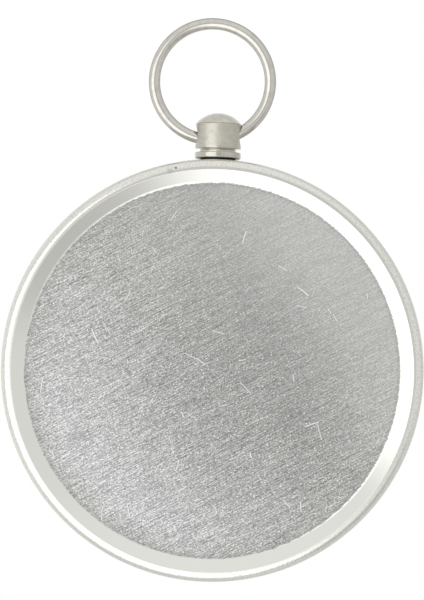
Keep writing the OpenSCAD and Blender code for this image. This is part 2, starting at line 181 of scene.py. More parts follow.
# White screens near the camera: bearing, tilt off its axis, full and outer half-width, in degrees.
SCREENS = [(194.0, 41.0, 20.0, 34.0), (243.0, 36.0, 20.0, 38.0), (230.0, 21.0, 8.0, 19.0),
           (160.0, 24.0, 9.0, 17.0), (274.0, 17.0, 3.0, 10.0)]

# Floor and lamp, in metres and watts.
FLOOR_HALF = 1.5
LAMP_PLACE = Vector((-0.35, -0.32, 0.5))
LAMP_AIM = Vector((0.0, 0.0, 0.006))
LAMP_SIDE = 0.5
LAMP_POWER = 2.0


def node_box(name):
    """Lowest and highest corner of a CAD node, in millimetres."""
    low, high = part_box(name)
    return Vector(low) / MM, Vector(high) / MM


CASE_R = node_box("case_shell")[1].x
SEAM_Z = node_box("case_shell")[1].z
SPIGOT_Z = node_box("bezel_ring")[0].z
TOP_Z = node_box("bezel_ring")[1].z
DIAL_Z = node_box("dial_plate")[1].z
BLADE_LOW, BLADE_HIGH = node_box("needle_blade")
NEEDLE_HEADING = math.degrees(math.atan2(BLADE_HIGH.x - BLADE_LOW.x, BLADE_HIGH.y - BLADE_LOW.y))
# The degree scale is level with the middle of the needle's blade.
SCALE_Z = (BLADE_LOW.z + BLADE_HIGH.z) / 2
LAND_OUT_R = CASE_R - RIM_ROUND
LAND_IN_R = LAND_OUT_R - RIM_LAND
BACK_R = LAND_IN_R - RIM_SLOPE_W
PENDANT_LOW, PENDANT_HIGH = node_box("pendant")
PENDANT_Z = (PENDANT_LOW.z + PENDANT_HIGH.z) / 2
SHOULDER_Y = CASE_R - SHOULDER_SINK
FLANGE_Y = CASE_R + FLANGE_GAP
NECK_Y = FLANGE_Y + FLANGE_T
HEAD_Y = NECK_Y + NECK_L
DOME_Y = HEAD_Y + HEAD_L
CROSS_Y = HEAD_Y + CROSS_UP
TO_CROSS_HOLE = Matrix.Translation(Vector((0.0, CROSS_Y, PENDANT_Z)) * MM)


# Node trees

def opaque(colour):
    """Red, green and blue as a solid colour; a socket stays as it is."""
    return (*colour, 1.0) if isinstance(colour, tuple) else colour


class Tree:
    """A node tree with short calls for adding nodes, linking them and doing sums."""

    def __init__(self, tree):
        self.tree = tree
        self.nodes = tree.nodes
        self.links = tree.links

    def add(self, kind, inputs=None, **settings):
        """A new node with its settings and inputs; an input is a value or another node's socket."""
        node = self.nodes.new(kind)
        for key, value in settings.items():
            setattr(node, key, value)
        for key, value in (inputs or {}).items():
            self.join(value, node.inputs[key])
        return node

    def join(self, value, socket):
        """Links a socket, or sets a plain value."""
        if isinstance(value, bpy.types.NodeSocket):
            self.links.new(value, socket)
        else:
            socket.default_value = value

    def feed(self, node, **sockets):
        """Links or sets a node's inputs by name, with _ for each space in a name."""
        for key, value in sockets.items():
            self.join(value, node.inputs[key.replace("_", " ")])

    def maths(self, operation, a, b, clamp=False):
        """One sum on numbers."""
        node = self.add("ShaderNodeMath", {0: a, 1: b}, operation=operation, use_clamp=clamp)
        return node.outputs[0]

    def times(self, a, b):
        """The product of two numbers."""
        return self.maths("MULTIPLY", a, b)

    def total(self, start, *shares):
        """A start value and shares of other values added up, from (value, share) pairs."""
        for value, share in shares:
            start = self.maths("ADD", start, self.times(value, share))
        return start

    def ramp(self, value, low, high, to_low=0.0, to_high=1.0):
        """A smooth step of value from low to high."""
        ends = {"From Min": low, "From Max": high, "To Min": to_low, "To Max": to_high}
        node = self.add("ShaderNodeMapRange", {"Value": value, **ends}, interpolation_type="SMOOTHSTEP")
        return node.outputs["Result"]

    def blend(self, factor, a, b):
        """A number mixed from a to b."""
        node = self.add("ShaderNodeMix", {0: factor, 2: a, 3: b}, data_type="FLOAT")
        return node.outputs[0]

    def tint(self, factor, a, b):
        """A colour mixed from a to b."""
        node = self.add("ShaderNodeMix", {0: factor, 6: opaque(a), 7: opaque(b)}, data_type="RGBA")
        return node.outputs[2]

    def vector(self, operation, a, b=None):
        """One sum on vectors."""
        inputs = {0: a} if b is None else {0: a, 1: b}
        return self.add("ShaderNodeVectorMath", inputs, operation=operation).outputs

    def place(self):
        """Object coordinates."""
        return self.add("ShaderNodeTexCoord").outputs["Object"]

    def radius(self):
        """Distance from the case's axis, in millimetres."""
        flat = self.vector("MULTIPLY", self.place(), (1 / MM, 1 / MM, 0.0))
        return self.vector("LENGTH", flat[0])["Value"]

    def along(self, toward):
        """How far a point lies along a direction from the origin, in millimetres."""
        return self.vector("DOT_PRODUCT", self.place(), Vector(toward) / MM)["Value"]

    def away_from(self, point):
        """Distance from a point given in millimetres, in millimetres."""
        gap = self.vector("DISTANCE", self.place(), Vector(point) * MM)
        return self.maths("DIVIDE", gap["Value"], MM)

    def turned(self, angle, stretch):
        """Object coordinates turned about Z and stretched, for grain that runs one way."""
        node = self.add("ShaderNodeMapping",
                        {"Vector": self.place(), "Rotation": (0.0, 0.0, math.radians(-angle)),
                         "Scale": [1 / share for share in stretch]}, vector_type="TEXTURE")
        return node.outputs[0]

    def noise(self, vector, scale, detail=2.0, rough=0.5):
        """Noise from 0 to 1."""
        node = self.add("ShaderNodeTexNoise",
                        {"Vector": vector, "Scale": scale, "Detail": detail, "Roughness": rough})
        return node.outputs["Fac"]

    def cells(self, vector):
        """Small cells: the distance from a cell's centre, and a number of the cell's own from 0 to 1."""
        node = self.add("ShaderNodeTexVoronoi", {"Vector": vector, "Scale": 1.0})
        own = self.add("ShaderNodeSeparateColor", {0: node.outputs["Color"]})
        return node.outputs["Distance"], own.outputs["Red"]

    def specks(self, vector, size):
        """Scattered specks of a size below half a cell, each with its own strength from 0 to 1."""
        distance, own = self.cells(vector)
        return self.times(self.ramp(distance, size, size / 2), self.ramp(own, 0.3, 0.9))

    def bump(self, height, depth, strength):
        """A bumped normal from a height, with the depth of a height of 1 in millimetres."""
        node = self.add("ShaderNodeBump", {"Height": height, "Distance": depth * MM, "Strength": strength})
        return node.outputs["Normal"]


def material(name, colour, metallic, roughness, **sockets):
    """A new material with its constants set on the shader; returns it, its tree and its shader."""
    made = bpy.data.materials.new(name)
    made.use_nodes = True
    tree = Tree(made.node_tree)
    shader = tree.nodes["Principled BSDF"]
    tree.feed(shader, Base_Color=opaque(colour), Metallic=metallic, Roughness=roughness, **sockets)
    return made, tree, shader


# Materials

def back_grain(tree):
    """Brushing of the flat back: its streaks, and the light of streaks, broad bands and grains together."""
    streak = tree.ramp(tree.noise(tree.turned(GRAIN_TURN, (260.0, 11500.0, 260.0)), 1.0, 0.0), 0.3, 0.7)
    bands = tree.add("ShaderNodeTexWave",
                     {"Vector": tree.turned(GRAIN_TURN, (420.0, 1080.0, 420.0)), "Scale": 1.0,
                      "Distortion": 6.0, "Detail": 1.0, "Detail Scale": 2.0}, bands_direction="Y")
    grain = tree.cells(tree.turned(GRAIN_TURN, (8800.0, 11000.0, 8800.0)))[1]
    light = tree.total(0.0, (streak, 0.22), (bands.outputs["Fac"], 0.2), (grain, 0.58))
    return streak, light


def back_colour(tree, radius, light):
    """Flat back: bluish painted sheen to +X -Y, painted shade mid-back, paler painted sheen and rubbed grain
    to -X +Y, painted glints, painted shade at its ragged edge.
    """
    # Painted sheen: a bluish painted reflection, strongest towards +X and -Y, fading out at the back's edge.
    sheen = tree.times(tree.ramp(tree.along((0.7, -0.71, 0.0)), -2.0, 20.0),
                       tree.ramp(radius, BACK_R, BACK_R - 3.0))
    # Painted shade: the back is darkest within 5 mm of (-6, -3) mm and painted lighter out to 22 mm.
    wear_and_painted_shade = tree.ramp(tree.away_from((-6.0, -3.0, BACK_DEPTH)), 5.0, 22.0)
    # Painted reflection: the back is painted paler towards -X and +Y.
    pale = tree.ramp(tree.along((-0.87, 0.5, 0.0)), 7.0, 18.0)
    rubbed = tree.ramp(tree.along((-0.62, 0.78, 0.0)), -4.0, 20.0)
    tone = tree.total(BACK_TONE, (sheen, 0.1), (wear_and_painted_shade, 0.07), (pale, 0.1))
    peaks = tree.maths("SUBTRACT", tree.maths("POWER", light, 1.6), 0.37)
    swing = tree.times(peaks, tree.blend(rubbed, 1.5, 0.6))
    tone = tree.maths("MULTIPLY", tone, tree.maths("ADD", swing, 1.0), clamp=True)
    # Tint of the painted sheen, from warm grey to bluish.
    hue = tree.tint(sheen, (0.996, 0.997, 0.986), (0.972, 0.985, 1.0))
    colour = tree.tint(tone, BLACK, hue)
    # Painted glints: scattered white specks mixed into the colour, weaker where the grain is rubbed.
    painted_glint = tree.specks(tree.turned(GRAIN_TURN, (2700.0, 4200.0, 2700.0)), 0.3)
    colour = tree.tint(tree.times(painted_glint, tree.blend(rubbed, 1.0, 0.3)), colour, WHITE)
    # Painted shade: a dark band round the back's edge, where it meets the slope, made ragged by noise.
    ragged_radius = tree.total(radius, (tree.noise(tree.place(), 3200.0), 0.6))
    edge = tree.ramp(ragged_radius, BACK_R - 0.35, BACK_R + 0.15)
    return tree.tint(tree.times(edge, 0.3), colour, (0.26, 0.26, 0.255))


def edge_colour(tree, fleck, hoops, on_rim, on_wall):
    """Smooth slope, flecked rim and hooped wall, with two dark nicks on the rim beside the pendant."""
    rim = tree.tint(tree.times(fleck, 0.55), (0.88, 0.88, 0.84), (0.64, 0.64, 0.6))
    wall = tree.tint(tree.ramp(hoops, 0.35, 0.65), (0.7, 0.7, 0.68), (0.62, 0.62, 0.605))
    colour = tree.tint(on_rim, (0.86, 0.86, 0.83), tree.tint(on_wall, rim, wall))
    nicks = tree.maths("MAXIMUM", tree.ramp(tree.away_from(DEEP_NICK), 0.19, 0.08),
                       tree.ramp(tree.away_from(FAINT_NICK), 0.6, 0.0, 0.0, 0.3))
    return tree.tint(tree.times(nicks, 0.8), colour, (0.05, 0.05, 0.05))


def brushed_case():
    """Brushed flat back with painted sheen, shade and glints, smooth drawn slope, satin rim with wear, and
    turned wall, told apart by place.
    """
    made, tree, shader = material("brushed_case", (0.72, 0.72, 0.7), 1.0, 0.3)
    radius = tree.radius()
    teeth = tree.noise(tree.turned(GRAIN_TURN, (1500.0, 5000.0, 1500.0)), 1.0, 1.0, 0.7)
    on_back = tree.ramp(tree.total(radius, (teeth, 0.45)), BACK_R + 0.2, BACK_R + 0.08)
    on_rim = tree.ramp(radius, LAND_IN_R - 0.1, LAND_OUT_R)
    on_wall = tree.ramp(tree.along(UP), RIM_ROUND - 0.2, RIM_ROUND + 0.5)
    streak, light = back_grain(tree)
    fleck = tree.ramp(tree.noise(tree.place(), 4200.0, 3.0, 0.6), 0.47, 0.66)
    hoops = tree.noise(tree.turned(0.0, (150.0, 150.0, 9000.0)), 1.0, 2.0, 0.6)
    smooth = edge_colour(tree, fleck, hoops, on_rim, on_wall)
    rough = tree.blend(on_rim, 0.2, tree.blend(fleck, 0.08, 0.22))
    rough = tree.blend(on_wall, rough, tree.blend(hoops, 0.26, 0.42))
    dents = tree.times(tree.noise(tree.place(), 3000.0, 2.0, 0.65),
                       tree.ramp(radius, LAND_OUT_R, LAND_OUT_R + 0.5, 0.0, 1.5))
    worked = tree.blend(on_wall, dents, tree.times(hoops, 0.6))
    relief = tree.blend(on_back, worked, tree.times(streak, 0.25))
    tree.feed(shader,
              Base_Color=tree.tint(on_back, smooth, back_colour(tree, radius, light)),
              Roughness=tree.blend(on_back, rough, tree.blend(light, 0.42, 0.3)),
              Normal=tree.bump(relief, 0.04, 0.5))
    return made


def turned_aluminium():
    """Fine turned rings on the front bezel."""
    made, tree, shader = material("turned_aluminium", (0.72, 0.72, 0.7), 1.0, 0.28)
    rings = tree.add("ShaderNodeTexNoise", {"W": tree.radius(), "Scale": 9.0, "Detail": 2.0},
                     noise_dimensions="1D").outputs["Fac"]
    wear = tree.noise(tree.place(), 2600.0, 4.0, 0.65)
    tree.feed(shader,
              Base_Color=tree.tint(tree.ramp(wear, 0.45, 0.75), (0.72, 0.72, 0.7), (0.65, 0.65, 0.635)),
              Roughness=tree.blend(rings, 0.2, 0.36),
              Normal=tree.bump(rings, 0.01, 0.35))
    return made


def bright_nickel():
    """Polished nickel plate of the bow, with faint wear."""
    made, tree, shader = material("bright_nickel", (0.7, 0.69, 0.64), 1.0, 0.14,
                                  Specular_Tint=(0.4, 0.4, 0.38, 1.0))
    wear = tree.noise(tree.place(), 1400.0, 4.0, 0.65)
    wear_and_painted_shade = tree.ramp(wear, 0.4, 0.75)
    tree.feed(shader,
              Base_Color=tree.tint(wear_and_painted_shade, (0.705, 0.692, 0.648), (0.605, 0.59, 0.545)),
              Roughness=tree.ramp(wear, 0.35, 0.8, 0.06, 0.16),
              Normal=tree.bump(wear, 0.02, 0.15))
    return made


def satin_nickel():
    """Satin nickel of the pendant: turned lines, wear, a dome painted lighter as a painted reflection, a
    painted shade line at the dome's foot, and painted shade on the shoulder under the flange.
    """
    made, tree, shader = material("satin_nickel", (0.66, 0.64, 0.59), 1.0, 0.26)
    up = tree.along((0.0, 1.0, 0.0))
    wear = tree.noise(tree.place(), 1400.0, 4.0, 0.65)
    lines = tree.noise(tree.turned(0.0, (900.0, 14000.0, 900.0)), 1.0, 2.0, 0.6)
    mottle = tree.total(0.0, (wear, 0.6), (lines, 0.4))
    wear_and_painted_shade = tree.ramp(mottle, 0.38, 0.66)
    satin = tree.tint(wear_and_painted_shade, (0.63, 0.612, 0.551), (0.545, 0.526, 0.467))
    # Painted reflection: the dome is painted lighter than the head's side.
    painted_dome_light = tree.tint(wear_and_painted_shade, (0.82, 0.8, 0.735), (0.66, 0.64, 0.58))
    colour = tree.tint(tree.ramp(up, DOME_Y - 0.05, DOME_Y + 0.05), satin, painted_dome_light)
    # Painted shade: a thin dark line just above the dome's foot.
    painted_crease_shade = tree.times(tree.ramp(up, DOME_Y, DOME_Y + 0.05), tree.ramp(up, DOME_Y + 0.15, DOME_Y + 0.05))
    colour = tree.tint(tree.times(painted_crease_shade, 0.6), colour, (0.12, 0.115, 0.1))
    # Painted shade: the shoulder below the flange, in the gap over the case, is painted near black and made
    # rough.
    painted_gap_shade = tree.ramp(up, FLANGE_Y + 0.03, FLANGE_Y - 0.03)
    polished = tree.ramp(up, HEAD_Y + 0.45, HEAD_Y + 0.2)
    rough = tree.blend(polished, tree.ramp(mottle, 0.35, 0.7, 0.37, 0.47), 0.1)
    tree.feed(shader,
              Base_Color=tree.tint(painted_gap_shade, colour, (0.03, 0.03, 0.027)),
              Roughness=tree.blend(painted_gap_shade, rough, 0.8),
              Normal=tree.bump(lines, 0.02, 0.25))
    return made


def fresh_scratch():
    """Bright bare metal in a fresh scratch."""
    made, tree, shader = material("fresh_scratch", (0.97, 0.97, 0.97), 1.0, 0.5)
    shade = tree.noise(tree.place(), 2600.0)
    tree.feed(shader, Base_Color=tree.tint(shade, (0.85, 0.85, 0.85), WHITE))
    return made


def turned_brass():
    """Lacquered brass with soft tarnish."""
    made, tree, shader = material("turned_brass", (0.78, 0.58, 0.28), 1.0, 0.25)
    tarnish = tree.noise(tree.place(), 2400.0, 3.0, 0.6)
    dulled = tree.ramp(tarnish, 0.35, 0.75)
    tree.feed(shader,
              Base_Color=tree.tint(dulled, (0.76, 0.57, 0.27), (0.62, 0.44, 0.19)),
              Roughness=tree.ramp(tarnish, 0.3, 0.8, 0.18, 0.38))
    return made


def ground_steel():
    """Ground steel with fine lines."""
    made, tree, shader = material("ground_steel", (0.6, 0.61, 0.62), 1.0, 0.28)
    lines = tree.noise(tree.turned(0.0, (300.0, 6000.0, 300.0)), 1.0)
    tree.feed(shader,
              Base_Color=tree.tint(lines, (0.52, 0.53, 0.54), (0.68, 0.69, 0.7)),
              Roughness=tree.ramp(lines, 0.3, 0.7, 0.2, 0.36))
    return made


def dial_enamel():
    """Cream enamel, slightly aged towards the edge."""
    made, tree, shader = material("dial_enamel", (0.86, 0.83, 0.74), 0.0, 0.38,
                                  Coat_Weight=0.25, Coat_Roughness=0.2)
    edge = tree.ramp(tree.radius(), 12.0, 19.0)
    age = tree.total(tree.noise(tree.place(), 260.0, 4.0, 0.6), (edge, 0.3))
    old = tree.maths("MULTIPLY", age, 0.6, clamp=True)
    tree.feed(shader,
              Base_Color=tree.tint(old, (0.89, 0.87, 0.79), (0.76, 0.71, 0.58)),
              Normal=tree.bump(tree.noise(tree.place(), 3000.0), 0.01, 0.2))
    return made


def frosted_silver():
    """Frosted silver of the degree ring."""
    made, tree, shader = material("frosted_silver", (0.8, 0.8, 0.78), 1.0, 0.5)
    frost = tree.noise(tree.place(), 6000.0, 2.0, 0.6)
    tree.feed(shader,
              Base_Color=tree.tint(frost, (0.72, 0.72, 0.7), (0.9, 0.9, 0.88)),
              Normal=tree.bump(frost, 0.02, 0.5))
    return made


def painted(name, light, dark, roughness):
    """Satin paint with a slight variation in tone and gloss."""
    made, tree, shader = material(name, light, 0.0, roughness)
    mottle = tree.noise(tree.place(), 1500.0, 3.0)
    tree.feed(shader,
              Base_Color=tree.tint(mottle, dark, light),
              Roughness=tree.ramp(mottle, 0.2, 0.8, roughness * 0.8, roughness * 1.2),
              Normal=tree.bump(mottle, 0.01, 0.2))
    return made


def needle_paint():
    """Red north half and white south half, split across the needle at the pivot."""
    made, tree, shader = material("needle_paint", (0.6, 0.05, 0.04), 0.0, 0.35)
    along = tree.add("ShaderNodeSeparateXYZ", {0: tree.turned(-NEEDLE_HEADING, (1 / MM, 1 / MM, 1 / MM))})
    north = tree.ramp(along.outputs["Y"], -0.02, 0.02)
    mottle = tree.noise(tree.place(), 1800.0, 3.0)
    red = tree.tint(mottle, (0.5, 0.03, 0.025), (0.66, 0.06, 0.04))
    white = tree.tint(mottle, (0.78, 0.77, 0.73), (0.9, 0.89, 0.86))
    tree.feed(shader,
              Base_Color=tree.tint(north, white, red),
              Roughness=tree.ramp(mottle, 0.2, 0.8, 0.28, 0.42))
    return made


def window_glass():
    """Clear flat glass with faint smears."""
    made, tree, shader = material("window_glass", (0.97, 0.985, 0.98), 0.0, 0.02,
                                  Transmission_Weight=1.0, IOR=1.5)
    smear = tree.noise(tree.place(), 120.0, 3.0)
    tree.feed(shader, Roughness=tree.ramp(smear, 0.45, 0.8, 0.01, 0.05))
    return made


def jewel():
    """Polished red jewel."""
    made, tree, shader = material("jewel", (0.55, 0.04, 0.08), 0.0, 0.08,
                                  Transmission_Weight=0.6, IOR=1.76)
    depth = tree.noise(tree.place(), 2500.0)
    tree.feed(shader, Base_Color=tree.tint(depth, (0.42, 0.02, 0.05), (0.66, 0.06, 0.1)))
    return made


# Meshes

def keep_mesh(name, mesh, finish, smooth_angle=None):
    """A new object at the origin for a finished mesh, shaded smooth where an angle is given."""
    obj = bpy.data.objects.new(name, mesh)
    bpy.context.scene.collection.objects.link(obj)
    mesh.materials.clear()
    mesh.materials.append(finish)
    if smooth_angle is not None:
        mesh.shade_smooth()
        mesh.set_sharp_from_angle(angle=math.radians(smooth_angle))
    return obj


def rounded(corners, steps):
    """Profile points from (r, z, radius) corners, each corner eased by an arc of its radius."""
    points = []
    for i, (r, z, radius) in enumerate(corners):
        here = Vector((r, z))
        if radius <= 0.0:
            points.append(here)
            continue
        to_last = (Vector(corners[i - 1][:2]) - here).normalized()
        to_next = (Vector(corners[(i + 1) % len(corners)][:2]) - here).normalized()
        half = math.acos(max(-1.0, min(1.0, to_last.dot(to_next)))) / 2
        centre = here + (to_last + to_next).normalized() * (radius / math.sin(half))
        start = here + to_last * (radius / math.tan(half)) - centre
        sweep = math.pi - 2 * half
        if start.x * to_next.y - start.y * to_next.x < 0:
            sweep = -sweep
        for k in range(steps + 1):
            a = sweep * k / steps
            points.append(centre + Vector((start.x * math.cos(a) - start.y * math.sin(a),
                                           start.x * math.sin(a) + start.y * math.cos(a))))
    return points


def lathe(name, points, finish, steps, place=Matrix.Identity(4)):
    """A closed body turned about Z from profile points in millimetres, then put in its place."""
    work = bmesh.new()
    rings = []
    for point in points:
        r = point.x * MM
        z = point.y * MM
        if point.x < ON_AXIS:
            rings.append([work.verts.new((0.0, 0.0, z))] * steps)
            continue
        ring = []
        for k in range(steps):
            a = 2 * math.pi * k / steps
            ring.append(work.verts.new((r * math.cos(a), r * math.sin(a), z)))
        rings.append(ring)
    closed = points[0].x > ON_AXIS
    for i in range(len(rings) - (0 if closed else 1)):
        low, high = rings[i], rings[(i + 1) % len(rings)]
        for k in range(steps):
            corners = [low[k], low[(k + 1) % steps], high[(k + 1) % steps], high[k]]
            work.faces.new(list(dict.fromkeys(corners)))
    bmesh.ops.recalc_face_normals(work, faces=work.faces)
    mesh = bpy.data.meshes.new(name)
    work.to_mesh(mesh)
    work.free()
    mesh.transform(place)
    return keep_mesh(name, mesh, finish, TURNED_SMOOTH)


def evaluated_copy(obj):
    """The object's mesh with its modifiers applied."""
    graph = bpy.context.evaluated_depsgraph_get()
    graph.update()
    return bpy.data.meshes.new_from_object(obj.evaluated_get(graph), depsgraph=graph)


def stand_in(obj, body, slot, *nodes):
    """Makes a finished piece take the place of CAD nodes on a body."""
    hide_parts(*nodes)
    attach(obj, body)


def trim(obj, body):
    """Adds a finished piece on a body."""
    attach(obj, body)


# Geometry Nodes

def node_group(name, sizes):
    """A geometry tree with one number input for each size; returns the tree and its input sockets."""
    group = bpy.data.node_groups.new(name, "GeometryNodeTree")
    group.interface.new_socket("Geometry", in_out="OUTPUT", socket_type="NodeSocketGeometry")
    for key, value in sizes.items():
        kind = "NodeSocketInt" if isinstance(value, int) else "NodeSocketFloat"
        group.interface.new_socket(key, in_out="INPUT", socket_type=kind)
    tree = Tree(group)
    return tree, tree.add("NodeGroupInput").outputs


def arc(tree, steps, radius, start, sweep):
    """A curve on part of a circle about Z."""
    node = tree.add("GeometryNodeCurveArc",
                    {"Resolution": steps, "Radius": radius, "Start Angle": start, "Sweep Angle": sweep},
                    mode="RADIUS")
    return node.outputs[0]


def tube(tree, path, steps, radius):
    """A round tube with closed ends along a curve."""
    section = tree.add("GeometryNodeCurvePrimitiveCircle", {"Resolution": steps, "Radius": radius})
    node = tree.add("GeometryNodeCurveToMesh",
                    {"Curve": path, "Profile Curve": section.outputs[0], "Fill Caps": True})
    return node.outputs[0]


def moved(tree, shape, step):
    """A shape moved by a vector."""
    return tree.add("GeometryNodeTransform", {"Geometry": shape, "Translation": step}).outputs[0]


def lifted(tree, shape, height):
    """A shape moved up by a height."""
    return moved(tree, shape, tree.add("ShaderNodeCombineXYZ", {"Z": height}).outputs[0])


def random_vector(tree, least, most, seed):
    """A vector of its own for each point, between two others."""
    node = tree.add("FunctionNodeRandomValue", {"Min": least, "Max": most, "Seed": seed},
                    data_type="FLOAT_VECTOR")
    return node.outputs[0]


def grown(name, tree, result, sizes, finish, smooth_angle=None):
    """Ends a geometry tree in one real mesh with its material, and returns that as a plain object."""
    real = tree.add("GeometryNodeRealizeInstances", {0: result})
    coated = tree.add("GeometryNodeSetMaterial", {"Geometry": real.outputs[0], "Material": finish})
    tree.add("NodeGroupOutput", {0: coated.outputs[0]})
    carrier = bpy.data.objects.new(name + "_maker", bpy.data.meshes.new(name + "_maker"))
    bpy.context.scene.collection.objects.link(carrier)
    modifier = carrier.modifiers.new("shape", "NODES")
    modifier.node_group = tree.tree
    for item in tree.tree.interface.items_tree:
        if item.in_out == "INPUT":
            modifier[item.identifier] = sizes[item.name]
    mesh = evaluated_copy(carrier)
    mesh.name = name
    bpy.data.objects.remove(carrier)
    return keep_mesh(name, mesh, finish, smooth_angle)


def tick_marks(name, finish, z, count, inner, length, width, start, sweep):
    """Printed ticks on an arc about the case's axis; sizes in millimetres, angles in degrees from +X."""
    values = {"Count": count, "Inner radius": inner * MM, "Length": length * MM, "Width": width * MM,
              "Start": math.radians(start), "Sweep": math.radians(sweep), "Height": z * MM}
    tree, size = node_group(name, values)
    middle = tree.total(size["Inner radius"], (size["Length"], 0.5))
    path = arc(tree, size["Count"], middle, size["Start"], size["Sweep"])
    bar_size = tree.add("ShaderNodeCombineXYZ",
                        {"X": size["Length"], "Y": size["Width"], "Z": INK_T * MM})
    bar = tree.add("GeometryNodeMeshCube", {"Size": bar_size.outputs[0]})
    outward = tree.add("FunctionNodeAlignRotationToVector",
                       {"Vector": tree.add("GeometryNodeInputPosition").outputs[0]}, axis="X")
    points = tree.add("GeometryNodeCurveToPoints", {0: path}, mode="EVALUATED")
    ticks = tree.add("GeometryNodeInstanceOnPoints",
                     {"Points": points.outputs[0], "Instance": bar.outputs[0],
                      "Rotation": outward.outputs[0]})
    return grown(name, tree, lifted(tree, ticks.outputs[0], size["Height"]), values, finish)


# Pieces

def case_shell(finish):
    """Drawn shell with eased edges."""
    slope = math.atan2(BACK_DEPTH, RIM_SLOPE_W)
    floor_z = BACK_DEPTH + SHEET_T
    floor_r = BACK_R + SHEET_T * math.tan(slope / 2)
    bore_r = CASE_R - SHEET_T
    heel_z = floor_z - (bore_r - floor_r) * math.tan(slope)
    back = [(0.0, BACK_DEPTH, 0.0), (BACK_R, BACK_DEPTH, BACK_FILLET), (LAND_IN_R, 0.0, LAND_FILLET)]
    wall = [(CASE_R, 0.0, RIM_ROUND), (CASE_R, SEAM_Z - SEAM_CHAMFER, EDGE_BREAK),
            (CASE_R - SEAM_CHAMFER, SEAM_Z, 0.0), (bore_r, SEAM_Z, 0.0)]
    inside = [(bore_r, heel_z, INNER_FILLET), (floor_r, floor_z, INNER_FILLET), (0.0, floor_z, 0.0)]
    profile = rounded(back + wall + inside, CASE_CORNER_STEPS)
    shell = lathe("case_shell_drawn", profile, finish, CASE_STEPS)
    stand_in(shell, "case", "case_aluminium", "case_shell")


def bezel(finish):
    """Front ring with eased edges and a bevelled window."""
    lip_z = TOP_Z - BEZEL_LIP_T
    spigot = [(SEAT_R, SPIGOT_Z, EDGE_BREAK), (SPIGOT_R, SPIGOT_Z, EDGE_BREAK), (SPIGOT_R, SEAM_Z, 0.0)]
    wall = [(CASE_R - SEAM_CHAMFER, SEAM_Z, 0.0), (CASE_R, SEAM_Z + SEAM_CHAMFER, EDGE_BREAK),
            (CASE_R, TOP_Z, BEZEL_ROUND)]
    window = [(WINDOW_R + WINDOW_BEVEL_W, TOP_Z, BEVEL_TOP_ROUND),
              (WINDOW_R, TOP_Z - WINDOW_BEVEL_H, BEVEL_FOOT_ROUND), (WINDOW_R, lip_z, 0.0),
              (SEAT_R, lip_z, 0.0)]
    profile = rounded(spigot + wall + window, CASE_CORNER_STEPS)
    ring = lathe("bezel_turned", profile, finish, CASE_STEPS)
    stand_in(ring, "case", "bezel_aluminium", "bezel_ring")


def pendant_profile():
    """The pendant's outline from its stem's end to the top of its dome."""
    stem = [(0.0, PENDANT_LOW.y, 0.0), (STEM_R, PENDANT_LOW.y, 0.0), (STEM_R, SHOULDER_Y, 0.0)]
    flange = [(SHOULDER_R, SHOULDER_Y, 0.0), (SHOULDER_R, FLANGE_Y, 0.0), (FLANGE_R, FLANGE_Y, FLANGE_ROUND),
              (FLANGE_R, NECK_Y - GROOVE_EASE, LIP_ROUND)]
    groove = [(NECK_R, NECK_Y - GROOVE_EASE, GROOVE_FILLET), (NECK_R, HEAD_Y + GROOVE_EASE, GROOVE_FILLET)]
    head = [(HEAD_R, HEAD_Y + GROOVE_EASE, LIP_ROUND), (HEAD_R, DOME_Y, 0.0)]
    dome_r = (HEAD_R ** 2 + DOME_H ** 2) / (2 * DOME_H)
    dome_angle = math.asin(HEAD_R / dome_r)
    dome = []
    for k in range(1, DOME_STEPS + 1):
        a = dome_angle * (1 - k / DOME_STEPS)
        dome.append(Vector((dome_r * math.sin(a), DOME_Y + DOME_H - dome_r + dome_r * math.cos(a))))
    return rounded(stem + flange + groove + head, PENDANT_CORNER_STEPS) + dome


def cross_drill(finish):
    """The cutter for the cross hole, wider at both ends for the hole's eased mouths."""
    mouth_x = HEAD_R - MOUTH_DEEP
    mouth_r = CROSS_R + MOUTH_EASE
    half = [Vector((0.0, -DRILL_REACH)), Vector((mouth_r, -DRILL_REACH)),
            Vector((mouth_r, -mouth_x - MOUTH_EASE)),
            Vector((CROSS_R + MOUTH_ROUND, -mouth_x - MOUTH_ROUND)),
            Vector((CROSS_R, -mouth_x + MOUTH_ROUND))]
    points = half + [Vector((point.x, -point.y)) for point in reversed(half)]
    place = TO_CROSS_HOLE @ Matrix.Rotation(math.pi / 2, 4, "Y")
    return lathe("pendant_drill", points, finish, DRILL_STEPS, place)


def pendant(finish):
    """Turned pendant with eased edges and its cross hole."""
    place = Matrix.Translation((0.0, 0.0, PENDANT_Z * MM)) @ Matrix.Rotation(-math.pi / 2, 4, "X")
    blank = lathe("pendant_blank", pendant_profile(), finish, PENDANT_STEPS, place)
    drill = cross_drill(finish)
    hole = blank.modifiers.new("cross_hole", "BOOLEAN")
    hole.object = drill
    hole.operation = "DIFFERENCE"
    hole.solver = "EXACT"
    mesh = evaluated_copy(blank)
    work = bmesh.new()
    work.from_mesh(mesh)
    bmesh.ops.dissolve_degenerate(work, dist=SHORTEST_EDGE * MM, edges=work.edges)
    work.to_mesh(mesh)
    work.free()
    bpy.data.objects.remove(blank)
    bpy.data.objects.remove(drill)
    turned = keep_mesh("pendant_turned", mesh, finish, PENDANT_SMOOTH)
    stand_in(turned, "case", "nickel_plate", "pendant")


